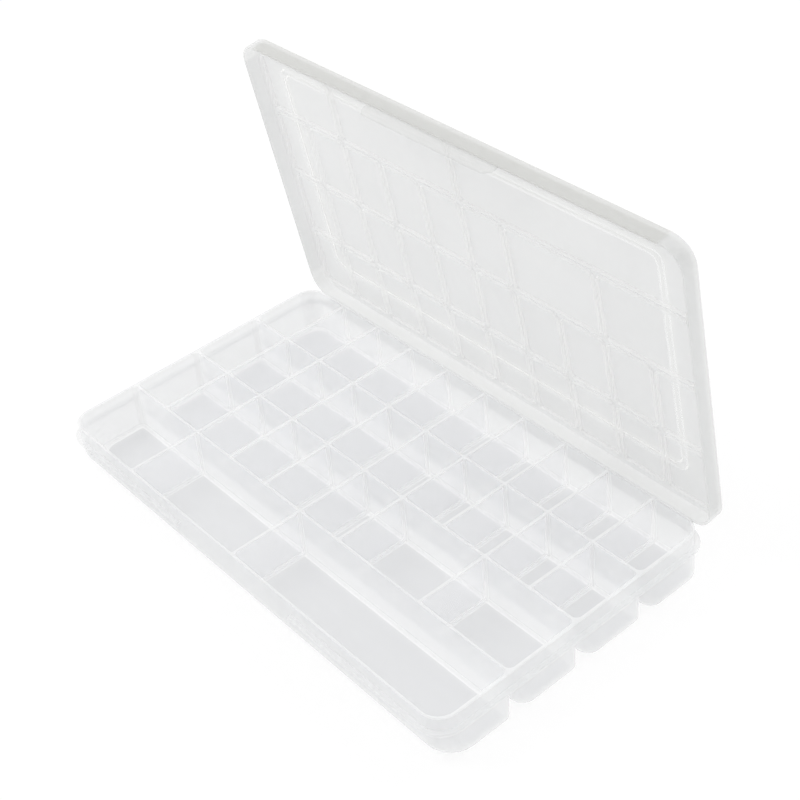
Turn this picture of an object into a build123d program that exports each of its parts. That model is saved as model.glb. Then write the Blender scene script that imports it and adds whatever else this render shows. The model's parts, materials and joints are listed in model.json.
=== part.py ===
from build123d import *
import math
import os

# Compartment box moulded in one shot of polypropylene: a shallow tray of four
# rounded troughs split into thirty-one compartments, and a lid on a thin
# moulded hinge along the back. Millimetres, +Z up. X runs along the hinge, from
# left to right as seen from the front, and Y runs from the front edge towards
# the hinge. The pieces are worked out about the middle of the tray, and the
# last step moves them along Y, so that the origin is on the plane that the box
# stands on, under the middle of the open box.

# Driving sizes of the tray
column_pitch = 28.0        # one small compartment, measured along the hinge
row_pitch = 38.6           # one trough, from divider to divider
columns = 10
rows = 4
depth = 26.0               # from the rim down to the floor of a compartment
wall = 1.2                 # outer walls and the sides of the troughs
floor_thickness = 1.2
plate_thickness = 1.2      # cross dividers
ridge_top_half = 0.6       # half of the row divider's width at the rim
ridge_foot_half = 1.8      # half of the row divider's width at the floor
trough_radius = 3.0        # inside radius of a trough's upright ends
foot_radius = 1.5          # inside radius where the floor meets the back and the ends
scoop_radius = 10.5        # inside radius at the front of a trough, where parts slide out
corner_radius = 9.2        # inside radius of the tray's four upright corners

# Cross dividers of each trough, from the front row back, counted in columns
# from the left wall
row_splits = [[2, 5], [1, 2, 3, 4, 5, 6, 8], list(range(1, 10)), list(range(1, 10))]

# Ledge around the tray, on which the lid's skirt comes down
ledge_drop = 7.3           # from the rim to the top of the ledge
ledge_thickness = 1.6
ledge_reach = 2.4          # beyond the outside of the wall

# Lid
panel_thickness = 1.4
panel_gap = 0.4            # between the rim and the underside of the closed lid
skirt_thickness = 1.1
skirt_gap = 0.4            # between the wall and the inside of the skirt
skirt_lift = 0.3           # between the ledge and the skirt's free edge
panel_edge_radius = 0.9
open_angle = 82.6          # how far the lid stands open, from closed

# Finger tab at the middle of the lid's front edge
tab_width = 85.0
tab_drop = 7.0             # below the skirt's free edge
tab_end_radius = 5.0
tab_lip_reach = 0.8
tab_lip_height = 1.2
tab_side_gap = 0.6

# Moulded hinge
bead_radius = 0.5
bead_seat_gap = 0.03
hinge_reach = 0.8          # from the ledge's edge to the hinge axis
tray_leaf_thickness = 0.4
tray_leaf_lap = 0.7        # how far the tray's leaf lies on the ledge
lid_leaf_thickness = 0.9
lid_leaf_lift = 0.1        # underside of the lid's leaf above the hinge axis
leaf_end_setback = 0.15

# Low closed ribs under the lid, one ring just inside each compartment
rib_height = 1.6
rib_thickness = 0.8
rib_radius = 2.4           # outside radius of a ring's corners
rib_gap = 0.5              # between a ring and the divider beside it
rib_end_gap = 3.6          # between a ring and the end and back walls
rib_front_gap = 5.2        # between a ring and the front wall

# Double stacking bead on the outside of the lid
bead_height = 0.8
bead_width = 1.2
bead_spacing = 2.8
bead_inset_side = 14.6     # from the inside of the end walls
bead_inset_front = 9.9     # from the inside of the front wall
bead_inset_back = 18.0     # from the inside of the back wall
bead_corner = 6.0

# Worked out from the sizes above
length = columns * column_pitch
width = rows * row_pitch
rim = floor_thickness + depth
ledge_top = rim - ledge_drop
ledge_bottom = ledge_top - ledge_thickness
foot_top = floor_thickness + foot_radius
scoop_top = floor_thickness + scoop_radius
scoop_middle = floor_thickness + 0.4 * scoop_radius
foot_angles = (0, 30, 60, 90)
scoop_angles = (0, 15, 30, 45)
x_end = length / 2
y_front = -width / 2
y_back = width / 2
over = 1.0                 # how far a cut runs past the face it opens
hair = 0.01                # within this, two heights count as the same

hinge_y = y_back + wall + ledge_reach + hinge_reach
hinge_z = ledge_top + bead_radius
panel_bottom = rim + panel_gap
panel_top = panel_bottom + panel_thickness
skirt_bottom = ledge_top + skirt_lift
skirt_in = wall + skirt_gap
skirt_out = skirt_in + skirt_thickness

pieces = {}


def keep(shape, name):
    """Keep one node, with every separate piece of it as its own solid."""
    pieces[name] = list(shape.solids())


def block(x0, x1, y0, y1, z0, z1):
    """Upright box between two corners."""
    size = Box(x1 - x0, y1 - y0, z1 - z0)
    return Pos((x0 + x1) / 2, (y0 + y1) / 2, (z0 + z1) / 2) * size


def rounded_block(x0, x1, y0, y1, radius, z0, z1):
    """Upright box with its four upright corners rounded."""
    plan = RectangleRounded(x1 - x0, y1 - y0, radius)
    return extrude(Pos((x0 + x1) / 2, (y0 + y1) / 2, z0) * plan, z1 - z0)


def ring(x0, x1, y0, y1, radius, thickness, z0, z1):
    """Closed upright band, thickness measured inwards."""
    outside = rounded_block(x0, x1, y0, y1, radius, z0, z1)
    inside = rounded_block(x0 + thickness, x1 - thickness, y0 + thickness, y1 - thickness,
                           radius - thickness, z0 - over, z1 + over)
    return outside - inside


def divider_y(index):
    """Y of the line between two troughs; 0 is the front wall, rows the back."""
    return y_front + index * row_pitch


def column_x(index):
    """X of a column line; 0 is the left end wall's inner face."""
    return -x_end + index * column_pitch


def ridge_half(z):
    """Half width of a row divider at a height."""
    slope = (ridge_foot_half - ridge_top_half) / depth
    return ridge_top_half + slope * (rim - z)


def rounding(drop, radius):
    """How far a rounded foot stands in from its wall, at a drop below its start."""
    drop = min(max(drop, 0), radius)
    return radius - math.sqrt(radius * radius - drop * drop)


def section(x, y0, y1, front_radius, back_radius, z):
    """Flat rounded rectangle at a height, from -x to x."""
    plan = Pos(0, (y0 + y1) / 2) * Rectangle(2 * x, y1 - y0)
    plan = fillet(plan.vertices().group_by(Axis.Y)[0], front_radius)
    plan = fillet(plan.vertices().group_by(Axis.Y)[-1], back_radius)
    return Pos(0, 0, z) * plan


def trough(index, skin):
    """One rounded trough, from the front (0) back, grown outwards by skin.

    With a skin of 0 this is the space inside; with the wall's thickness it is
    the outside of the same trough. The sides beside a row divider lean, the
    back and the ends have a small rounded foot, and the front a large one."""
    foot = foot_radius + skin
    scoop = scoop_radius + skin
    levels = [rim + over if skin == 0 else rim]
    levels += [scoop_top - scoop * math.sin(math.radians(angle)) for angle in scoop_angles]
    levels += [foot_top - foot * math.sin(math.radians(angle)) for angle in foot_angles]
    front_radius = corner_radius if index == 0 else trough_radius
    back_radius = corner_radius if index == rows - 1 else trough_radius
    sections = []
    for z in levels:
        inset = rounding(foot_top - z, foot)
        front_lean = 0 if index == 0 else ridge_half(z)
        back_lean = 0 if index == rows - 1 else ridge_half(z)
        y0 = divider_y(index) + front_lean - skin + rounding(scoop_top - z, scoop)
        y1 = divider_y(index + 1) - back_lean + skin - inset
        sections.append(section(x_end + skin - inset, y0, y1, front_radius + skin - inset,
                                back_radius + skin - inset, z))
    return loft(sections, ruled=True)


def layers(shape, heights):
    """The same shape as separate solids, one above the other, between heights."""
    found = []
    for low, high in zip(heights, heights[1:]):
        cut = block(-length, length, -length, length, low, high)
        found += (shape & cut).solids()
    return Compound(children=found)


# Tray: the outsides of the four troughs, joined above the ledge by one band,
# with the four spaces taken out. What is left between two troughs is a row
# divider, a narrow ridge that is open below.
spaces = [trough(index, 0) for index in range(rows)]
band = rounded_block(-x_end - wall, x_end + wall, y_front - wall, y_back + wall,
                     corner_radius + wall, ledge_bottom, rim)
shell = band
for index in range(rows):
    shell = shell + trough(index, wall)
for space in spaces:
    shell = shell - space

# Trough floors, flat inside, and the rounded foot around each: a strip along
# each side, and a straight piece and two corners at each end
reach = wall + over
for index in range(rows):
    at_edge = index in (0, rows - 1)
    turn = corner_radius if at_edge else trough_radius
    y0 = divider_y(index) - (reach if index == 0 else 0)
    y1 = divider_y(index + 1) + (reach if index == rows - 1 else 0)
    cut = block(-x_end - reach, x_end + reach, y0, y1, -over, floor_thickness)
    keep(shell & cut, f"trough_floor_{index + 1}")
    along = [-x_end - reach, -x_end + turn, x_end - turn, x_end + reach]
    across = [y0, divider_y(index) + ridge_foot_half + scoop_radius,
              divider_y(index + 1) - ridge_foot_half - turn, y1]
    foot = []
    for column, (left, right) in enumerate(zip(along, along[1:])):
        for line, (front, back) in enumerate(zip(across, across[1:])):
            if (column, line) != (1, 1):
                cut = block(left, right, front, back, floor_thickness, foot_top)
                foot += (shell & cut).solids()
    keep(Compound(children=foot), f"trough_foot_{index + 1}")

# Row dividers, between the rounded ends of the troughs. Each holds the rounded
# front of the trough behind it, and is cut into layers below the straight part.
wall_layers = [foot_top, scoop_middle, scoop_top, rim + over]
post_x = x_end - trough_radius
ridge_reach = ridge_half(0) + over
for line in range(1, rows):
    middle = divider_y(line)
    cut = block(-post_x, post_x, middle - ridge_reach, middle + ridge_reach + scoop_radius,
                foot_top, rim + over)
    keep(layers(shell & cut, wall_layers), f"row_divider_{line}")

# Front and back walls, between the rounded corners
straight_x = x_end - corner_radius
front_cut = block(-straight_x, straight_x, y_front - reach, y_front + scoop_radius,
                  foot_top, rim + over)
back_cut = block(-straight_x, straight_x, y_back - over, y_back + reach, foot_top, rim + over)
keep(layers(shell & front_cut, wall_layers), "wall_front")
keep(shell & back_cut, "wall_back")

# End walls with the tray's corners and the rounded ends of the troughs
for name, sign in (("left", -1), ("right", 1)):
    outer = sign * (x_end + reach)
    ends = sorted((sign * post_x, outer))
    cut = block(ends[0], ends[1], y_front - reach, y_back + reach, foot_top, rim + over)
    turn = sorted((sign * straight_x, sign * post_x))
    for y0, y1 in ((y_front - reach, y_front + scoop_radius),
                   (y_back - corner_radius, y_back + reach)):
        cut = cut + block(turn[0], turn[1], y0, y1, foot_top, rim + over)
    keep(shell & cut, f"wall_{name}")

# Cross dividers: thin plates that follow the rounded foot of their trough
for index, splits in enumerate(row_splits):
    for split in splits:
        x = column_x(split)
        half = plate_thickness / 2
        cut = block(x - half, x + half, divider_y(index), divider_y(index + 1), 0, rim)
        keep(spaces[index] & cut, f"cross_divider_{index + 1}_{split}")

# Ledge around the outside, with a notch at the front for the lid's tab
ledge_out = wall + ledge_reach
ledge = ring(-x_end - ledge_out, x_end + ledge_out, y_front - ledge_out, y_back + ledge_out,
             corner_radius + ledge_out, ledge_reach, ledge_bottom, ledge_top)
side_reach = ledge_out + over
front_pieces = []
for name, sign in (("left", -1), ("right", 1)):
    ends = sorted((sign * straight_x, sign * (x_end + side_reach)))
    cut = block(ends[0], ends[1], y_front - side_reach, y_back + side_reach,
                ledge_bottom - over, ledge_top + over)
    keep(ledge & cut, f"ledge_{name}")
    notch = sign * (tab_width / 2 + tab_side_gap)
    ends = sorted((notch, sign * straight_x))
    cut = block(ends[0], ends[1], y_front - side_reach, y_front,
                ledge_bottom - over, ledge_top + over)
    front_pieces += (ledge & cut).solids()
keep(Compound(children=front_pieces), "ledge_front")
cut = block(-straight_x, straight_x, y_back, y_back + side_reach,
            ledge_bottom - over, ledge_top + over)
keep(ledge & cut, "ledge_back")

# The tray's half of the hinge: a thin leaf on the ledge, ending in a bead on
# the hinge axis
hinge_half = straight_x
leaf_start = y_back + ledge_out - tray_leaf_lap
leaf = block(-hinge_half, hinge_half, leaf_start, hinge_y, ledge_top,
             ledge_top + tray_leaf_thickness)
bead = Pos(0, hinge_y, hinge_z) * Rot(0, 90, 0) * Cylinder(bead_radius, 2 * hinge_half)
keep(leaf + bead, "hinge_bead")

# Lid, worked out closed and then swung open about the hinge axis
hinge_line = Axis((0, hinge_y, hinge_z), (-1, 0, 0))
lid_x = x_end + skirt_out
lid_front = y_front - skirt_out
lid_back = y_back + skirt_out
lid_radius = corner_radius + skirt_out


def keep_lid(shape, name):
    keep(shape.rotate(hinge_line, open_angle), name)


panel = rounded_block(-lid_x, lid_x, lid_front, lid_back, lid_radius, panel_bottom, panel_top)
panel = fillet(panel.faces().sort_by(Axis.Z)[-1].edges(), panel_edge_radius)
keep_lid(panel, "lid_panel")

skirt = ring(-lid_x, lid_x, lid_front, lid_back, lid_radius, skirt_thickness,
             skirt_bottom, panel_bottom)
low, high = skirt_bottom - over, panel_bottom + over
keep_lid(skirt & block(-straight_x, straight_x, lid_front - over, y_front, low, high),
         "skirt_front")
keep_lid(skirt & block(-straight_x, straight_x, y_back, lid_back + over, low, high),
         "skirt_back")
for name, sign in (("left", -1), ("right", 1)):
    ends = sorted((sign * straight_x, sign * (lid_x + over)))
    cut = block(ends[0], ends[1], lid_front - over, lid_back + over, low, high)
    keep_lid(skirt & cut, f"skirt_{name}")

# Finger tab, hanging from the front skirt through the notch in the ledge
tab_bottom = skirt_bottom - tab_drop
tab_plan = Pos(0, (skirt_bottom + tab_bottom) / 2) * Rectangle(tab_width, tab_drop)
tab_face = fillet(tab_plan.vertices().group_by(Axis.Y)[0], tab_end_radius)
tab_inside = Plane((0, y_front - skirt_in, 0), x_dir=(1, 0, 0), z_dir=(0, -1, 0))
tab = extrude(tab_inside * tab_face, skirt_thickness)
lip_half = tab_width / 2 - tab_end_radius
lip = block(-lip_half, lip_half, lid_front - tab_lip_reach, lid_front,
            tab_bottom, tab_bottom + tab_lip_height)
keep_lid(tab + lip, "finger_tab")

# The lid's half of the hinge: a leaf from the back skirt that seats on the bead
seat = Pos(0, hinge_y, hinge_z) * Rot(0, 90, 0) * Cylinder(bead_radius + bead_seat_gap,
                                                          2 * hinge_half + over)
leaf_half = hinge_half - leaf_end_setback
lid_leaf = block(-leaf_half, leaf_half, lid_back, hinge_y, hinge_z + lid_leaf_lift,
                 hinge_z + lid_leaf_lift + lid_leaf_thickness)
keep_lid(lid_leaf - seat, "hinge_lid_leaf")

# Rings of ribs under the lid, one node for each row of compartments
rib_bottom = panel_bottom - rib_height
row_offset = ridge_half(rib_bottom) + rib_gap
plate_offset = plate_thickness / 2 + rib_gap
for index, splits in enumerate(row_splits):
    y0 = divider_y(index) + (rib_front_gap if index == 0 else row_offset)
    y1 = divider_y(index + 1) - (rib_end_gap if index == rows - 1 else row_offset)
    stops = [0] + splits + [columns]
    rings = []
    for left, right in zip(stops, stops[1:]):
        x0 = column_x(left) + (rib_end_gap if left == 0 else plate_offset)
        x1 = column_x(right) - (rib_end_gap if right == columns else plate_offset)
        rings.append(ring(x0, x1, y0, y1, rib_radius, rib_thickness, rib_bottom, panel_bottom))
    keep_lid(Compound(children=rings), f"lid_ribs_row_{index + 1}")

# Double stacking bead around the outside of the panel
for name, step in (("outer", 0), ("inner", bead_spacing)):
    bead_x = x_end - bead_inset_side - step
    bead_band = ring(-bead_x, bead_x, y_front + bead_inset_front + step,
                     y_back - bead_inset_back - step, bead_corner, bead_width,
                     panel_top, panel_top + bead_height)
    keep_lid(bead_band, f"stacking_bead_{name}")

# Move the whole box so that the origin is under its middle, and write it
boxes = [solid.bounding_box() for solids in pieces.values() for solid in solids]
middle_y = (min(box.min.Y for box in boxes) + max(box.max.Y for box in boxes)) / 2
os.makedirs("parts", exist_ok=True)
for name, solids in pieces.items():
    moved = [solid.moved(Pos(0, -middle_y, 0)) for solid in solids]
    node = moved[0] if len(moved) == 1 else Compound(children=moved)
    node.label = name
    export_step(node, f"parts/{name}.step")
    print(f"{name}: {len(moved)} solid(s), {sum(solid.volume for solid in moved):.0f} mm3")

print(f"{len(pieces)} nodes; tray {length + 2 * ledge_out:.1f} x {width + 2 * ledge_out:.1f} mm, "
      f"{panel_top + bead_height:.1f} mm high when closed")
print(f"the tray's middle is at Y {-middle_y:.4f}, the hinge axis at Y {hinge_y - middle_y:.4f}, "
      f"Z {hinge_z:.4f}")
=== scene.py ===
# %% [markdown]
# # A frosted compartment box
#
# The object is a flat storage box, moulded in one shot of natural polypropylene. The tray
# is split into open compartments, and the lid hangs on a thin web of the same plastic.
# The imported model gives every place and size, so this lesson starts by loading it. It
# keeps the bounds of the bare model; the lamps are aimed at their middle.

# %% Load the imported model
import json
import math

import bmesh
import bpy
from mathutils import Matrix, Vector


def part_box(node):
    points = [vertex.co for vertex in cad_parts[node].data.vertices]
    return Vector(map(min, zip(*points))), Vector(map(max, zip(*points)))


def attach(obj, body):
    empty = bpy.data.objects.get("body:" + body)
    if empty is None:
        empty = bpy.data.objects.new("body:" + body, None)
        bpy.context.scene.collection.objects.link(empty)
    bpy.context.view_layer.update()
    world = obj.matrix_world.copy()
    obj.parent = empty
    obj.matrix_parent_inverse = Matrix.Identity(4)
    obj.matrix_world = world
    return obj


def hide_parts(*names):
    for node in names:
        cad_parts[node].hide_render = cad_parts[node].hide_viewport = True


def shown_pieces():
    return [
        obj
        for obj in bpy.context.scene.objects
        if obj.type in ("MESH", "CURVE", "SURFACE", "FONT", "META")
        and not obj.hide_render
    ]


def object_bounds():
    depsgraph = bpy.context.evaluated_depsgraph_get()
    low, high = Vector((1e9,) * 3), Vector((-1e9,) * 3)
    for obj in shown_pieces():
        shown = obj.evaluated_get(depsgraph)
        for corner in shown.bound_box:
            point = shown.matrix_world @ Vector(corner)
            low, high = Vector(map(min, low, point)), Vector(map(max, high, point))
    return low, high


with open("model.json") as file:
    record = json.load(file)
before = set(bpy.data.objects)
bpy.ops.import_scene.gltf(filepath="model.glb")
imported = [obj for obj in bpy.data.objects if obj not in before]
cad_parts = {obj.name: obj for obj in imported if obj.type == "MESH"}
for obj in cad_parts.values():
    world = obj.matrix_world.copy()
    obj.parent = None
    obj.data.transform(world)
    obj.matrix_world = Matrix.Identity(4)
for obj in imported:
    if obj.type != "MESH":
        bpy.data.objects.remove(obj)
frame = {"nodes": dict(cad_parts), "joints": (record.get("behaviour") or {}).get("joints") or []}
cad_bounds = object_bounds()
mm = 0.001

# %% [markdown]
# ## The camera
#
# The photograph looks down on the box from its right front. A long lens keeps the lid's
# edges nearly parallel. The camera could be aimed with a tracking constraint, but its
# slight roll is easier to write as a matrix: one axis to the right of the picture, one
# up the picture, and one back from what it looks at.

# %% Place the camera
camera_place = Vector((0.48314, -0.32357, 0.52292))
camera_azimuth = math.radians(54.481)
camera_elevation = math.radians(38.301)
camera_roll = math.radians(-7.778)
lens_mm = 72.63


def aim(azimuth, elevation, roll):
    """Rotation of a camera that looks along an azimuth and down by an elevation."""
    ahead = Vector((-math.sin(azimuth) * math.cos(elevation),
                    math.cos(azimuth) * math.cos(elevation),
                    -math.sin(elevation)))
    level = Vector((math.cos(azimuth), math.sin(azimuth), 0))
    upright = level.cross(ahead)
    right = math.cos(roll) * level + math.sin(roll) * upright
    up = math.cos(roll) * upright - math.sin(roll) * level
    return Matrix((right, up, -ahead)).transposed()


camera_data = bpy.data.cameras.new("camera")
camera_data.lens = lens_mm
camera_data.sensor_width = 36
camera_data.clip_end = 20
camera = bpy.data.objects.new("camera", camera_data)
camera.matrix_world = Matrix.Translation(camera_place) @ aim(
    camera_azimuth, camera_elevation, camera_roll).to_4x4()
bpy.context.collection.objects.link(camera)
bpy.context.scene.camera = camera
print("camera at", [round(value, 3) for value in camera_place])

# %% [markdown]
# ## Sizes
#
# The tray's shape repeats a few sizes: the wall, the pitch of the rows, and the radius
# at the foot of a trough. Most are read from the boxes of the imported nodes, so a piece
# built here lies where its node lies. The rest are named once. Everything is worked out
# about the middle of the tray, which lies a little in front of the model's origin, and
# each finished mesh is moved there by the same small step.

# %% Read the sizes of the tray
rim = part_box("row_divider_1")[1].z
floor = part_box("cross_divider_1_2")[0].z
tray_middle = (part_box("wall_front")[0].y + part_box("wall_back")[1].y) / 2
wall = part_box("wall_back")[1].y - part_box("wall_back")[0].y
y_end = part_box("wall_back")[0].y - tray_middle
x_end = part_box("wall_right")[1].x - wall
plate_half = (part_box("cross_divider_1_2")[1].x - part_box("cross_divider_1_2")[0].x) / 2
ledge_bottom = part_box("ledge_back")[0].z
ledge_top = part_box("ledge_back")[1].z
ledge_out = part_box("ledge_back")[1].y - tray_middle - y_end
rows = len([name for name in frame["nodes"] if name.startswith("trough_floor_")])
row_pitch = 2 * y_end / rows
corner_radius = 9.2 * mm
trough_radius = 3.0 * mm
foot_radius = 1.5 * mm
scoop_radius = 10.5 * mm
plate_foot = 0.8 * mm
plate_corner = 1.0 * mm
corner_narrowing = 0.3
ridge_top = 0.6 * mm
ridge_foot = 1.8 * mm
rim_round = 0.3 * mm
row_plates = {row: [] for row in range(rows)}
for name in frame["nodes"]:
    if name.startswith("cross_divider_"):
        low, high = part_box(name)
        row_plates[int(name.split("_")[2]) - 1].append((low.x + high.x) / 2)
print({row + 1: len(places) + 1 for row, places in row_plates.items()}, "compartments")

# %% [markdown]
# ## Tools for lofting
#
# A moulded tray is all smooth rounded pockets. Booleans and a bevel could make them, but
# they leave ragged faces, and in clear plastic every face inside a wall shows. So each
# pocket is lofted: rings of points, one below the other, joined by quads. The rings of
# neighbours share their points, which makes one closed skin with nothing inside it.

# %% Rings and lofts
arc_steps = 6
weld_distance = 0.002 * mm


def arc(centre_x, centre_y, radius, start, z):
    """A quarter turn of points, from an angle in degrees."""
    points = []
    for step in range(arc_steps + 1):
        angle = math.radians(start + 90 * step / arc_steps)
        points.append(Vector((centre_x + radius * math.cos(angle),
                              centre_y + radius * math.sin(angle), z)))
    return points


def ring(x0, x1, y0, y1, radii, z):
    """Rounded rectangle; radii are front left, front right, back right, back left."""
    fl, fr, br, bl = radii
    return (arc(x0 + fl, y0 + fl, fl, 180, z) + arc(x1 - fr, y0 + fr, fr, 270, z)
            + arc(x1 - br, y1 - br, br, 0, z) + arc(x0 + bl, y1 - bl, bl, 90, z))


def place(sheet, points):
    return [sheet.verts.new(point) for point in points]


def stitch(sheet, upper, lower, closed=True, finish=None):
    """Quads between two rings.

    finish gives a quad's material from its number, or -1 for no quad."""
    count = len(upper)
    for index in range(count if closed else count - 1):
        after = (index + 1) % count
        material = finish(index) if finish else 0
        if material >= 0:
            face = sheet.faces.new((upper[index], upper[after], lower[after], lower[index]))
            face.material_index = material


def loft(sheet, rings, finish=None):
    """Rings joined one to the next; finish gives a material from the step and the quad."""
    placed = [place(sheet, points) for points in rings]
    for step, (upper, lower) in enumerate(zip(placed, placed[1:])):
        stitch(sheet, upper, lower, True, finish and (lambda quad: finish(step, quad)))
    return placed


def foot_inset(z, bottom, radius):
    """How far a rounded foot stands in from its wall at a height."""
    below = max(0.0, radius - (z - bottom))
    return radius - math.sqrt(max(0.0, radius * radius - below * below))


def finish_mesh(sheet, name, body, turn=None, smooth_angle=50):
    """Weld, turn the faces outwards, and make an object that rides on its body."""
    bmesh.ops.remove_doubles(sheet, verts=sheet.verts, dist=weld_distance)
    bmesh.ops.recalc_face_normals(sheet, faces=sheet.faces)
    data = bpy.data.meshes.new(name)
    sheet.to_mesh(data)
    sheet.free()
    data.transform(Matrix.Translation((0, tray_middle, 0)))
    if turn is not None:
        data.transform(turn)
    data.shade_smooth()
    data.set_sharp_from_angle(angle=math.radians(smooth_angle))
    piece = bpy.data.objects.new(name, data)
    bpy.context.collection.objects.link(piece)
    flats = piece.modifiers.new("flats stay flat", "WEIGHTED_NORMAL")
    flats.keep_sharp = True
    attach(piece, body)
    open_edges = sum(1 for count in edge_use(data).values() if count != 2)
    print(f"{name}: {len(data.polygons)} faces, {open_edges} open edges")
    return piece


def edge_use(data):
    use = {key: 0 for key in data.edge_keys}
    for polygon in data.polygons:
        for key in polygon.edge_keys:
            use[key] += 1
    return use


# %% [markdown]
# ## The tray
#
# Between two troughs stands a ridge, two leaning walls that meet at the rim and are open
# below, and each trough is cut by thin upright plates. The skin is built in three parts:
# the pockets, whose mouths are a little wider than their walls so that every divider
# gets a rounded top; the flat net of divider tops between the mouths; and the outside.
# At its back and ends a trough has a small rounded foot. At its front the wall runs into
# the floor in one large curve, so that small parts slide out under a finger.

# %% Pockets
def ridge_half(z):
    """Half width of the ridge between two troughs at a height."""
    return ridge_top + (ridge_foot - ridge_top) * (rim - z) / (rim - floor)


def trough_side(line, z):
    """Y of the inside of a trough's front or back wall, 0 for the front of the tray."""
    lean = 0 if line in (0, rows) else ridge_half(z)
    return -y_end + line * row_pitch, lean


foot_angles = (0, 18, 36, 54, 72, 90)
scoop_angles = (0, 8, 16, 24, 32, 40, 48)


def foot_levels(bottom, skin):
    """Heights down the large rounding at the front, then down the small one at the back."""
    levels = [bottom + (scoop_radius + skin) * (1 - math.sin(math.radians(angle)))
              for angle in scoop_angles]
    return levels + [bottom + (foot_radius + skin) * (1 - math.sin(math.radians(angle)))
                     for angle in foot_angles]


pocket_levels = [rim - rim_round] + foot_levels(floor, 0)


def pocket_ring(row, left, right, z, mouth):
    """One level of a compartment, grown by mouth where its edge is rounded."""
    at_left, at_right = left is None, right is None
    foot_left = foot_radius if at_left else plate_foot
    foot_right = foot_radius if at_right else plate_foot
    x0 = -x_end if at_left else left + plate_half
    x1 = x_end if at_right else right - plate_half
    front, front_lean = trough_side(row, z)
    back, back_lean = trough_side(row + 1, z)
    sink = foot_inset(z, floor, foot_radius)
    x0 += foot_inset(z, floor, foot_left) - mouth
    x1 -= foot_inset(z, floor, foot_right) + mouth
    y0 = front + front_lean + foot_inset(z, floor, scoop_radius) - mouth
    y1 = back - back_lean - sink + mouth

    def corner(at_wall, at_edge):
        if at_wall:
            return (corner_radius if at_edge else trough_radius) - sink + mouth
        return plate_corner - corner_narrowing * sink + mouth

    radii = (corner(at_left, row == 0), corner(at_right, row == 0),
             corner(at_right, row == rows - 1), corner(at_left, row == rows - 1))
    return ring(x0, x1, y0, y1, radii, z)


# %% [markdown]
# Five finishes share the tray's skin, all of one plastic. The cross plates are thin and
# clear. The ridges and walls are painted paler, as painted light that comes through them
# from the sides. The floors are painted greyer, as painted shade from the shadowed ground
# seen through them. The outside is a little greyer. Plastic looks densest where the eye
# meets it edge on, as in a rim, in the corner between two walls, and in the rounding at
# the foot of a wall. There the finish is denser and also painted paler, as a painted
# highlight. So each face notes its finish as it is made.

# %% Loft the pockets
at_walls, at_floors, at_edges, at_plates, at_outside = range(5)
arc_points = arc_steps + 1
mouth_angles = (90, 45, 0)
tray_sheet = bmesh.new()
net_edges = []


def ring_edges(sheet, verts):
    for index, vert in enumerate(verts):
        after = verts[(index + 1) % len(verts)]
        net_edges.append(sheet.edges.get((vert, after)) or sheet.edges.new((vert, after)))


def fill(sheet, verts, material):
    sheet.faces.new(verts).material_index = material


front_quad, back_quad = arc_steps, 3 * arc_points - 1
pocket_count = 0
for row, places in row_plates.items():
    stops = [None] + sorted(places) + [None]
    for left, right in zip(stops, stops[1:]):
        rings = []
        for angle in mouth_angles:
            drop = rim_round * (1 - math.sin(math.radians(angle)))
            mouth = rim_round * (1 - math.cos(math.radians(angle)))
            rings.append(pocket_ring(row, left, right, rim - drop, mouth))
        rings += [pocket_ring(row, left, right, z, 0) for z in pocket_levels[1:]]
        wall_steps = range(len(mouth_angles) - 1, len(rings) - len(foot_angles))
        corner_side = (left, right, right, left)
        wall_side = (at_outside if row == 0 else at_walls,
                     at_outside if right is None else at_plates,
                     at_outside if row == rows - 1 else at_walls,
                     at_outside if left is None else at_plates)

        # Rims, rounded corners and feet take the painted highlight, floors the painted shade,
        # and ridge faces the painted light.
        def pocket_finish(step, quad):
            which, along = divmod(quad, arc_points)
            if step > wall_steps[-1] and quad == front_quad:
                return at_floors
            if step not in wall_steps:
                return at_edges
            if along == arc_steps:
                return wall_side[which]
            return at_outside if corner_side[which] is None else at_edges

        placed = loft(tray_sheet, rings, pocket_finish)
        ring_edges(tray_sheet, placed[0])
        fill(tray_sheet, placed[-1], at_floors)
        pocket_count += 1
print(pocket_count, "pockets lofted")

# %% [markdown]
# The outside goes down from the rim past the ledge as one band. Below that the four
# troughs show as separate rounded shapes, with a narrow slot between them that closes to
# a line just under the ledge. At each end of a slot a small three-sided face is left
# between two rounded corners; it is filled by hand.

# %% Outside of the tray
outer_corner = corner_radius + wall
lobe_corner = trough_radius + wall
outer_foot = foot_radius + wall
slot_top = rim - (rim - floor) * (wall - ridge_top) / (ridge_foot - ridge_top)


def band_ring(z, inset):
    """Outline of the tray, with points where the rounded troughs begin at its ends."""
    x, y, radius = x_end + wall - inset, y_end + wall - inset, outer_corner - inset
    right_side = []
    left_side = []
    for line in range(1, rows):
        middle = -y_end + line * row_pitch
        right_side += [Vector((x, middle + side * lobe_corner, z)) for side in (-1, 1)]
        left_side += [Vector((-x, middle + side * lobe_corner, z)) for side in (-1, 1)]
    return (arc(-x + radius, -y + radius, radius, 180, z)
            + arc(x - radius, -y + radius, radius, 270, z) + right_side
            + arc(x - radius, y - radius, radius, 0, z)
            + arc(-x + radius, y - radius, radius, 90, z) + left_side[::-1])


def lobe_ring(row, z):
    """Outside of one trough at a height below the ledge."""
    front, front_lean = trough_side(row, z)
    back, back_lean = trough_side(row + 1, z)
    sink = foot_inset(z, 0, outer_foot)
    front_skin = wall if row == 0 else min(wall, front_lean)
    back_skin = wall if row == rows - 1 else min(wall, back_lean)
    x = x_end + wall - sink
    front_radius = (outer_corner if row == 0 else lobe_corner) - sink
    back_radius = (outer_corner if row == rows - 1 else lobe_corner) - sink
    return ring(-x, x, front + front_lean - front_skin + foot_inset(z, 0, scoop_radius + wall),
                back - back_lean + back_skin - sink,
                (front_radius, front_radius, back_radius, back_radius), z)


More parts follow.
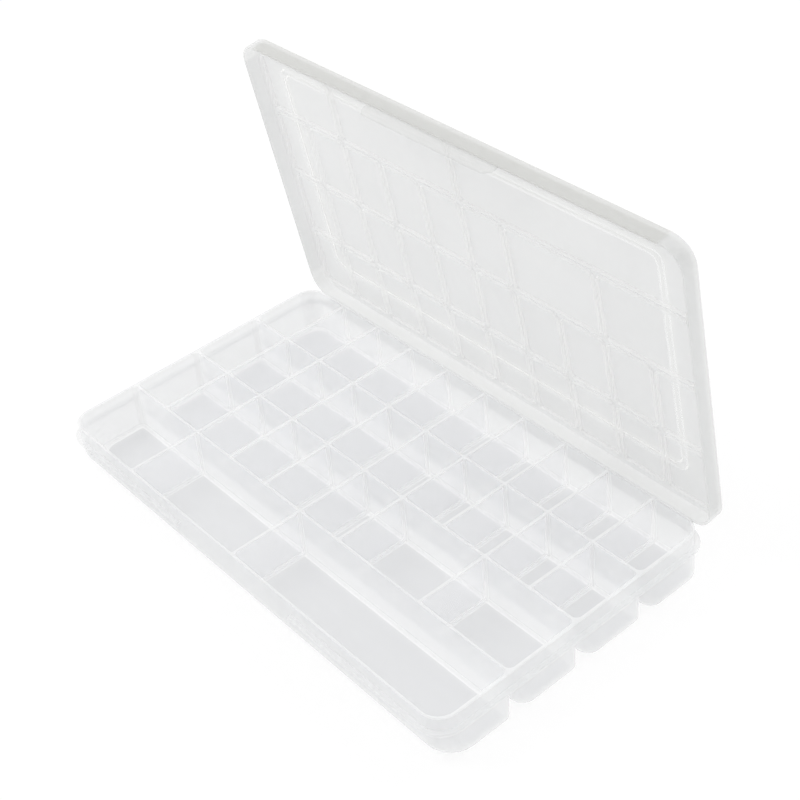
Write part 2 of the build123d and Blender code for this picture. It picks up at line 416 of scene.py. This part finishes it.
band = []
for angle in mouth_angles:
    drop = rim_round * (1 - math.sin(math.radians(angle)))
    band.append(band_ring(rim - drop, rim_round * (1 - math.cos(math.radians(angle)))))
band.append(band_ring(ledge_bottom, 0))
placed = loft(tray_sheet, band, lambda step, quad: at_edges if step < 2 else at_outside)
ring_edges(tray_sheet, placed[0])
net = bmesh.ops.triangle_fill(tray_sheet, use_beauty=True, edges=net_edges, normal=(0, 0, 1))
for face in [item for item in net["geom"] if isinstance(item, bmesh.types.BMFace)]:
    face.material_index = at_edges

lobe_levels = [ledge_bottom, slot_top] + foot_levels(0, wall)
for row in range(rows):
    in_slot = []
    if row > 0:
        in_slot.append(front_quad)
    if row < rows - 1:
        in_slot.append(back_quad)

    def lobe_finish(step, quad):
        if quad in in_slot:
            return at_walls if step else -1
        return at_outside

    placed = loft(tray_sheet, [lobe_ring(row, z) for z in lobe_levels], lobe_finish)
    fill(tray_sheet, placed[-1], at_floors)
for line in range(1, rows):
    middle = -y_end + line * row_pitch
    inner = x_end + wall - lobe_corner
    right = (arc(inner, middle - lobe_corner, lobe_corner, 0, ledge_bottom)
             + arc(inner, middle + lobe_corner, lobe_corner, 270, ledge_bottom)[1:])
    for sign in (1, -1):
        corners = [Vector((sign * point.x, point.y, point.z)) for point in right]
        fill(tray_sheet, place(tray_sheet, corners), at_outside)

tray = finish_mesh(tray_sheet, "tray_skin", "tray")
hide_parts(*[name for name in frame["nodes"]
                    if name.startswith(("trough_", "row_divider_", "wall_",
                                        "cross_divider_"))])

# %% [markdown]
# ## The ledge
#
# The lid's skirt comes down on a narrow ledge. It stops at the front, where the finger
# tab passes. A profile with rounded outer edges is carried along the outline, and its
# inner edge is let into the wall a little, so that no two faces lie in one plane.

# %% Carry a profile along the outline
def outline(offset, z, gap_half=None):
    """Outline at an offset from the inside of the tray's walls.

    With gap_half it is open at the front, and starts and ends beside the gap."""
    x, y, radius = x_end + offset, y_end + offset, corner_radius + offset
    quarters = (arc(x - radius, -y + radius, radius, 270, z)
                + arc(x - radius, y - radius, radius, 0, z)
                + arc(-x + radius, y - radius, radius, 90, z)
                + arc(-x + radius, -y + radius, radius, 180, z))
    if gap_half is None:
        return quarters
    return [Vector((gap_half, -y, z))] + quarters + [Vector((-gap_half, -y, z))]


def rounded_profile(inner, outer, bottom, top, radius):
    """Closed profile, as offset and height, with its two outer corners rounded."""
    profile = [(inner, bottom)]
    for start, at_bottom in ((270, True), (0, False)):
        for step in range(4):
            angle = math.radians(start + 30 * step)
            height = bottom + radius if at_bottom else top - radius
            profile.append((outer - radius + radius * math.cos(angle),
                            height + radius * math.sin(angle)))
    profile.append((inner, top))
    return profile


notch_half = 43.1 * mm
let_in = 0.4 * mm
ledge_round = 0.45 * mm
ledge_sheet = bmesh.new()
profile = rounded_profile(wall - let_in, ledge_out, ledge_bottom, ledge_top, ledge_round)
strips = [place(ledge_sheet, outline(offset, z, notch_half)) for offset, z in profile]
for strip, after in zip(strips, strips[1:] + strips[:1]):
    stitch(ledge_sheet, strip, after, closed=False)
for end in (0, -1):
    ledge_sheet.faces.new([strip[end] for strip in strips])
ledge = finish_mesh(ledge_sheet, "ledge", "tray")
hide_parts("ledge_back", "ledge_left", "ledge_right", "ledge_front")

# %% [markdown]
# ## The lid
#
# The lid is a flat panel with a skirt, worked out shut, where its outline follows the
# tray's, and then swung open about the hinge. The hinge's place and the angle come from
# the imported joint. One skin again: up the outside, over the top, and back inside.

# %% The lid's panel and skirt
joint = frame["joints"][0]
hinge_point = Vector(joint["pos_m"])
open_angle = math.radians(-joint["range_deg"][0])
swing = (Matrix.Translation(hinge_point)
         @ Matrix.Rotation(open_angle, 4, Vector(joint["axis"]))
         @ Matrix.Translation(-hinge_point))
panel_gap = 0.4 * mm
panel_thickness = 1.4 * mm
skirt_gap = 0.4 * mm
skirt_thickness = 1.1 * mm
skirt_lift = 0.3 * mm
panel_round = 0.9 * mm
skirt_round = 0.3 * mm
inner_round = 0.8 * mm
panel_bottom = rim + panel_gap
panel_top = panel_bottom + panel_thickness
skirt_bottom = ledge_top + skirt_lift
skirt_in = wall + skirt_gap
skirt_out = skirt_in + skirt_thickness


def turn_profile(centre_offset, centre_z, radius, start, stop, steps=4):
    """Part of a circle in the lid's section, as offset and height."""
    points = []
    for step in range(steps + 1):
        angle = math.radians(start + (stop - start) * step / steps)
        points.append((centre_offset + radius * math.cos(angle),
                       centre_z + radius * math.sin(angle)))
    return points


lid_profile = turn_profile(skirt_out - panel_round, panel_top - panel_round, panel_round, 90, 0)
lid_profile += turn_profile(skirt_out - skirt_round, skirt_bottom + skirt_round,
                            skirt_round, 0, -90)
lid_profile += turn_profile(skirt_in + skirt_round, skirt_bottom + skirt_round,
                            skirt_round, 270, 180)
lid_profile += turn_profile(skirt_in - inner_round, panel_bottom - inner_round,
                            inner_round, 0, 90)
at_panel, at_skirt, at_front_band, at_bead_root = range(4)
left_side, front_side = 3 * arc_points - 1, 4 * arc_points - 1
bead_width = 1.2 * mm
bead_spacing = 2.8 * mm
bead_side = 14.6 * mm
bead_front = 9.9 * mm
bead_back = 18.0 * mm
bead_corner = 6.0 * mm


def bead_ring(inset, radius, z):
    """Rounded rectangle in from the stacking bead's outer edge, in the outline's order."""
    points = ring(-x_end + bead_side + inset, x_end - bead_side - inset,
                  -y_end + bead_front + inset, y_end - bead_back - inset, [radius] * 4, z)
    return points[arc_points:] + points[:arc_points]


def panel_face(sheet, edge, z):
    """The panel's flat face, with a clearer strip where each stacking bead stands on it, so that
    the bead's painted highlight shows through.
    """
    for inset in (0, bead_spacing):
        for step, finish in ((0, at_panel), (bead_width, at_bead_root)):
            strip = place(sheet, bead_ring(inset + step, bead_corner - step, z))
            stitch(sheet, edge, strip, True, lambda quad: finish)
            edge = strip
    fill(sheet, edge, at_panel)


def lid_finish(step, quad):
    return {front_side: at_front_band, left_side: at_panel}.get(quad, at_skirt)


lid_sheet = bmesh.new()
placed = loft(lid_sheet, [outline(offset, z) for offset, z in lid_profile], lid_finish)
panel_face(lid_sheet, placed[0], panel_top)
panel_face(lid_sheet, placed[-1], panel_bottom)
lid = finish_mesh(lid_sheet, "lid_skin", "lid", swing)
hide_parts("lid_panel", "skirt_front", "skirt_back", "skirt_left", "skirt_right")

# %% [markdown]
# ## The finger tab
#
# The tab is the part of the skirt that runs on past the ledge, with rounded ends and a
# small lip for a fingertip. It could be cut from the skirt's mesh. A strip of rings is
# plainer: at each place along the tab its section is the same, and only the free edge
# comes up at the ends.

# %% Finger tab
tab_half = 42.5 * mm
tab_drop = 7.0 * mm
tab_end = 5.0 * mm
tab_lip = 0.8 * mm
lip_height = 1.2 * mm
tab_root = 0.4 * mm
tab_round = 0.25 * mm
lip_share = 0.6
lip_blend = 0.1 * mm


def tab_section(x):
    """Section of the tab at a place along it, from its root down and back up."""
    past = max(0.0, abs(x) - (tab_half - tab_end))
    rise = tab_end - math.sqrt(max(0.0, tab_end * tab_end - past * past))
    low = skirt_bottom - tab_drop + rise
    root = skirt_bottom + tab_root
    fade = max(0.0, 1 - past / (lip_share * tab_end))
    front, back = -y_end - skirt_out, -y_end - skirt_in
    lip = tab_lip * fade
    return [Vector((x, back, root)), Vector((x, back, low + tab_round)),
            Vector((x, back - tab_round, low)), Vector((x, front - lip + tab_round, low)),
            Vector((x, front - lip, low + tab_round)),
            Vector((x, front - lip, low + lip_height - tab_round)),
            Vector((x, front - lip * lip_share, low + lip_height)),
            Vector((x, front, low + lip_height + lip * lip_share + lip_blend)),
            Vector((x, front, root))]


tab_sheet = bmesh.new()
tab_places = [-tab_half + tab_end * (1 - math.cos(math.radians(angle)))
              for angle in range(12, 91, 13)]
tab_places += [0.0] + [-x for x in reversed(tab_places)]
placed = loft(tab_sheet, [tab_section(x) for x in tab_places])
tab_sheet.faces.new(placed[0])
tab_sheet.faces.new(placed[-1])
tab = finish_mesh(tab_sheet, "finger_tab_skin", "lid", swing, 35)
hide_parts("finger_tab")

# %% [markdown]
# ## Ribs under the lid
#
# A low rib runs round inside each compartment's mouth when the lid is shut, so from
# inside the lid every divider shows as a pair of fine lines. Each rib is a closed ring.
# Rounding a plain ring with a bevel would do, but the same rings of points that made the
# pockets also carry a rounded section round a corner.

# %% Rings of ribs
rib_height = 1.6 * mm
rib_thickness = 0.8 * mm
rib_radius = 2.4 * mm
rib_gap = 0.5 * mm
rib_end_gap = 3.6 * mm
rib_front_gap = 5.2 * mm
root_depth = 0.3 * mm
rib_section = [(0.0, -root_depth), (0.05, 0.3 * rib_height), (0.1, 0.7 * rib_height),
               (0.25, 0.93 * rib_height), (0.5, rib_height), (0.75, 0.93 * rib_height),
               (0.9, 0.7 * rib_height), (0.95, 0.3 * rib_height), (1.0, -root_depth)]


def add_rib_ring(sheet, x0, x1, y0, y1):
    strips = []
    for share, height in rib_section:
        inset = share * rib_thickness
        strips.append(ring(x0 + inset, x1 - inset, y0 + inset, y1 - inset,
                           [rib_radius - inset] * 4, panel_bottom - height))
    placed_rib = loft(sheet, strips)
    stitch(sheet, placed_rib[-1], placed_rib[0])


beside_ridge = ridge_half(panel_bottom - rib_height) + rib_gap
beside_plate = plate_half + rib_gap
for row, places in row_plates.items():
    front_line = -y_end + row * row_pitch
    y0 = front_line + (rib_front_gap if row == 0 else beside_ridge)
    y1 = front_line + row_pitch - (rib_end_gap if row == rows - 1 else beside_ridge)
    stops = [-x_end + rib_end_gap - beside_plate] + sorted(places)
    stops.append(x_end - rib_end_gap + beside_plate)
    rib_sheet = bmesh.new()
    for left, right in zip(stops, stops[1:]):
        add_rib_ring(rib_sheet, left + beside_plate, right - beside_plate, y0, y1)
    ribs = finish_mesh(rib_sheet, f"ribs_row_{row + 1}", "lid", swing)
    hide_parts(f"lid_ribs_row_{row + 1}")

# %% [markdown]
# ## The stacking bead
#
# A double bead runs round the outside of the lid, so that a second box can't slide off.
# Its section is a low half round, carried along a rounded rectangle.

# %% Stacking bead
bead_height = 0.8 * mm
bead_steps = 6

for name, step in (("outer", 0), ("inner", bead_spacing)):
    bead_sheet = bmesh.new()
    strips = []
    for index in range(bead_steps + 1):
        angle = math.radians(180 * index / bead_steps)
        inset = bead_width / 2 * (1 - math.cos(angle))
        z = panel_top + bead_height * math.sin(angle)
        strips.append(bead_ring(step + inset, bead_corner - inset, z))
    deep = panel_top - root_depth
    strips.insert(0, [Vector((point.x, point.y, deep)) for point in strips[0]])
    strips.append([Vector((point.x, point.y, deep)) for point in strips[-1]])
    placed = loft(bead_sheet, strips)
    stitch(bead_sheet, placed[-1], placed[0])
    bead = finish_mesh(bead_sheet, f"stacking_bead_{name}_skin", "lid", swing)
    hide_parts(f"stacking_bead_{name}")

# %% [markdown]
# ## Shader sums
#
# Materials here are written as sums. The class below holds one socket of a shader node,
# and an expression on such values adds the Math nodes that work it out.

# %% Values and finishes
class Value:
    """One shader socket that can be used in a sum."""

    def __init__(self, finish, socket):
        self.finish = finish
        self.socket = socket

    def math(self, operation, first, second):
        made = self.finish.node("ShaderNodeMath", {"operation": operation},
                                {0: first, 1: second})
        return made.out(0)

    def larger(self, other):
        return self.math("MAXIMUM", self, other)

    def __add__(self, other):
        return self.math("ADD", self, other)

    def __radd__(self, other):
        return self.math("ADD", other, self)

    def __sub__(self, other):
        return self.math("SUBTRACT", self, other)

    def __rsub__(self, other):
        return self.math("SUBTRACT", other, self)

    def __mul__(self, other):
        return self.math("MULTIPLY", self, other)

    def __rmul__(self, other):
        return self.math("MULTIPLY", other, self)


class Node:
    """A shader node whose outputs are read by name or number."""

    def __init__(self, finish, made):
        self.finish = finish
        self.made = made

    def out(self, name):
        return Value(self.finish, self.made.outputs[name])


class Finish:
    """The shader of a material or of the world, under construction."""

    def __init__(self, owner):
        self.owner = owner
        owner.use_nodes = True
        self.tree = owner.node_tree
        self.tree.nodes.clear()

    def node(self, kind, settings, inputs):
        made = self.tree.nodes.new(kind)
        for key, value in settings.items():
            setattr(made, key, value)
        for key, value in inputs.items():
            socket = made.inputs[key]
            if isinstance(value, Value):
                self.tree.links.new(value.socket, socket)
            else:
                socket.default_value = value
        return Node(self, made)

    def surface(self, value):
        self.node("ShaderNodeOutputMaterial", {}, {"Surface": value})
        return self.owner


# %% [markdown]
# ## Natural polypropylene
#
# Unpigmented polypropylene is milky: light gets through, softly. Real glass nodes or a
# volume would trace that through every wall, slowly and with much noise. In thin walls a
# simpler mixture looks the same: part of each surface is see-through, part is a pale
# plastic, and part is translucent, lit by what falls on its other side. The cloudy flow
# of the moulding changes how much gets through, the tint and the gloss, and a fine grain
# breaks up the gloss and the normal.

# %% Frosted plastic
flow_across, flow_along = 9.0, 3.0
grain_scale = 700.0
grain_depth = 0.05 * mm
flow_scale = 2.2
flow_to_gloss = 0.14
grain_to_gloss = 0.08
refraction = 1.49


def frosted(name, colour, shade, density, cloud, glow, gloss, streak_axis):
    """Milky plastic. density is how much it hides, cloud how that varies, glow how much of
    what it scatters comes from its other side."""
    finish = Finish(bpy.data.materials.new(name))
    place_on = finish.node("ShaderNodeTexCoord", {}, {}).out("Object")
    stretch = [flow_across] * 3
    stretch[streak_axis] = flow_along
    flow_place = finish.node("ShaderNodeMapping", {}, {"Vector": place_on, "Scale": stretch})
    flow = finish.node("ShaderNodeTexNoise", {}, {
        "Vector": flow_place.out(0), "Scale": flow_scale, "Detail": 3.0, "Roughness": 0.55,
        "Distortion": 0.6}).out(0)
    grain = finish.node("ShaderNodeTexNoise", {}, {
        "Vector": place_on, "Scale": grain_scale, "Detail": 1.0}).out(0)
    tint = finish.node("ShaderNodeMix", {"data_type": "RGBA"}, {
        0: flow, 6: (*colour, 1), 7: (*shade, 1)}).out(2)
    bump = finish.node("ShaderNodeBump", {}, {
        "Strength": 0.06, "Distance": grain_depth, "Height": grain}).out(0)
    plastic = finish.node("ShaderNodeBsdfPrincipled", {}, {
        "Base Color": tint, "IOR": refraction, "Normal": bump,
        "Roughness": gloss + flow_to_gloss * flow + grain_to_gloss * grain})
    lit_through = finish.node("ShaderNodeBsdfTranslucent", {}, {"Color": (*colour, 1)})
    scattered = finish.node("ShaderNodeMixShader", {}, {
        0: glow, 1: plastic.out(0), 2: lit_through.out(0)})
    clear = finish.node("ShaderNodeBsdfTransparent", {}, {"Color": (1, 1, 1, 1)})
    return finish.surface(finish.node("ShaderNodeMixShader", {}, {
        0: density + cloud * (flow - 0.5), 1: clear.out(0), 2: scattered.out(0)}).out(0))


# Paler than the floors: painted light, standing in for light that comes through the walls from
# the sides.
ridge_painted_light = frosted("ridges painted light", (0.94, 0.945, 0.953), (0.92, 0.925, 0.933),
                       density=0.28, cloud=0.07, glow=0.5, gloss=0.30, streak_axis=0)
# Greyer than the walls: painted shade, standing in for the shadowed ground seen through the
# floors.
floor_painted_shade = frosted("floors painted shade", (0.80, 0.805, 0.82), (0.76, 0.765, 0.78),
                        density=0.42, cloud=0.12, glow=0.4, gloss=0.30, streak_axis=0)
# Denser where the plastic is met edge on, and paler: a painted highlight along rims, corners and
# feet.
edge_dense_painted_highlight = frosted("dense edges painted highlight", (0.97, 0.972, 0.972), (0.95, 0.952, 0.952),
                       density=0.44, cloud=0.05, glow=0.4, gloss=0.28, streak_axis=0)
plate_plastic = frosted("clear plates", (0.96, 0.965, 0.975), (0.93, 0.935, 0.945),
                        density=0.2, cloud=0.06, glow=0.5, gloss=0.30, streak_axis=2)
outside_plastic = frosted("frosted outside", (0.88, 0.885, 0.89), (0.84, 0.845, 0.85),
                          density=0.34, cloud=0.08, glow=0.4, gloss=0.30, streak_axis=0)
ledge_plastic = frosted("ledge", (0.90, 0.902, 0.905), (0.88, 0.882, 0.885),
                        density=0.36, cloud=0.06, glow=0.4, gloss=0.30, streak_axis=0)
lid_plastic = frosted("frosted lid", (0.74, 0.745, 0.745), (0.69, 0.695, 0.695),
                      density=0.42, cloud=0.12, glow=0.3, gloss=0.34, streak_axis=1)
skirt_plastic = frosted("lid's skirt", (0.80, 0.805, 0.80), (0.76, 0.765, 0.76),
                        density=0.38, cloud=0.08, glow=0.4, gloss=0.34, streak_axis=1)
band_plastic = frosted("lid's front band", (0.67, 0.67, 0.65), (0.63, 0.63, 0.61),
                       density=0.5, cloud=0.06, glow=0.3, gloss=0.34, streak_axis=0)
# Near-clear strips under the stacking beads, so that their painted highlight shows through the
# panel.
root_cleared_for_highlight = frosted("bead roots cleared for highlight", (0.9, 0.9, 0.9), (0.88, 0.88, 0.88),
                       density=0.1, cloud=0.04, glow=0.3, gloss=0.30, streak_axis=1)
tab_plastic = frosted("finger tab", (0.74, 0.745, 0.735), (0.70, 0.705, 0.695),
                      density=0.3, cloud=0.06, glow=0.3, gloss=0.34, streak_axis=0)
# Paler than the lid: painted light that lifts the shade between the ribs, so each pair reads as
# light lines. Pieces not in the table below take it too.
rib_painted_light = frosted("ribs", (0.97, 0.97, 0.965), (0.95, 0.95, 0.945),
                      density=0.34, cloud=0.05, glow=0.5, gloss=0.28, streak_axis=1)
# Much paler and denser than the lid: a painted highlight along the stacking beads.
bead_painted_highlight = frosted("stacking beads", (0.99, 0.99, 0.98), (0.98, 0.98, 0.97),
                       density=0.6, cloud=0.05, glow=0.5, gloss=0.24, streak_axis=1)
dressed = {
    "tray_skin": [ridge_painted_light, floor_painted_shade, edge_dense_painted_highlight, plate_plastic, outside_plastic],
    "ledge": [ledge_plastic],
    "hinge_bead": [outside_plastic],
    "hinge_lid_leaf": [lid_plastic],
    "lid_skin": [lid_plastic, skirt_plastic, band_plastic, root_cleared_for_highlight],
    "finger_tab_skin": [tab_plastic],
    "stacking_bead_outer_skin": [bead_painted_highlight],
    "stacking_bead_inner_skin": [bead_painted_highlight]}
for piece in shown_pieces():
    finishes = [polygon.material_index for polygon in piece.data.polygons]
    piece.data.materials.clear()
    for material in dressed.get(piece.name, [rib_painted_light]):
        piece.data.materials.append(material)
    piece.data.polygons.foreach_set("material_index", finishes)

# %% [markdown]
# A ray through this box can cross more than thirty surfaces, and each one that is partly
# see-through counts. Past Cycles' usual limit of eight it would turn black, so the limits
# go up here.

# %% Let light through many walls
cycles = bpy.context.scene.cycles
cycles.transparent_max_bounces = 48
cycles.max_bounces = 16
cycles.diffuse_bounces = 8
cycles.transmission_bounces = 12
print("light passes up to", cycles.transparent_max_bounces, "see-through surfaces")

# %% [markdown]
# ## Light and floor
#
# The photograph is all soft white light. The world gives most of it, two large lamps
# give the ridges and the lid their gentle highlights, and the floor is white to the
# camera but still takes the box's soft shadow.

# %% Floor, world and lamps
floor_white = 0.8
floor_half = 6.0
floor_drop = 0.05 * mm
world_light = 0.9


def white_to_camera(finish, strength):
    """How much plain white is mixed in where the camera, glass or gloss look."""
    path = finish.node("ShaderNodeLightPath", {}, {})
    looks = path.out("Is Camera Ray").larger(path.out("Is Glossy Ray"))
    return looks.larger(path.out("Is Transmission Ray")) * strength


floor_finish = Finish(bpy.data.materials.new("white floor"))
white = floor_finish.node("ShaderNodeEmission", {}, {"Color": (1, 1, 1, 1), "Strength": 1.0})
paper = floor_finish.node("ShaderNodeBsdfDiffuse", {}, {"Color": (0.88, 0.88, 0.88, 1)})
mix = floor_finish.node("ShaderNodeMixShader", {}, {
    0: white_to_camera(floor_finish, floor_white), 1: paper.out(0), 2: white.out(0)})
floor_material = floor_finish.surface(mix.out(0))
floor_sheet = bmesh.new()
bmesh.ops.create_grid(floor_sheet, x_segments=1, y_segments=1, size=floor_half)
floor_data = bpy.data.meshes.new("floor")
floor_sheet.to_mesh(floor_data)
floor_sheet.free()
floor_data.materials.append(floor_material)
floor_object = bpy.data.objects.new("floor", floor_data)
floor_object.location.z = -floor_drop
bpy.context.collection.objects.link(floor_object)

world = bpy.data.worlds.new("studio")
bpy.context.scene.world = world
sky = Finish(world)
looks = white_to_camera(sky, 1.0)
background = sky.node("ShaderNodeBackground", {}, {
    "Color": (1, 1, 1, 1), "Strength": looks * (1 - world_light) + world_light})
sky.node("ShaderNodeOutputWorld", {}, {"Surface": background.out(0)})


def soft_lamp(name, place_at, look_at, size, power):
    data = bpy.data.lights.new(name, "AREA")
    data.size = size
    data.energy = power
    lamp = bpy.data.objects.new(name, data)
    lamp.location = place_at
    lamp.rotation_mode = "QUATERNION"
    lamp.rotation_quaternion = (look_at - place_at).to_track_quat("-Z", "Y")
    bpy.context.collection.objects.link(lamp)


centre = (cad_bounds[0] + cad_bounds[1]) / 2
soft_lamp("lamp over the left", Vector((-0.6, -0.5, 1.0)), centre, size=0.6, power=5.0)
soft_lamp("lamp behind", Vector((0.3, 0.9, 0.9)), centre, size=0.5, power=4.0)

bpy.context.scene.view_settings.view_transform = "Standard"
print(len(bpy.data.lights), "lamps, a white world and a floor")
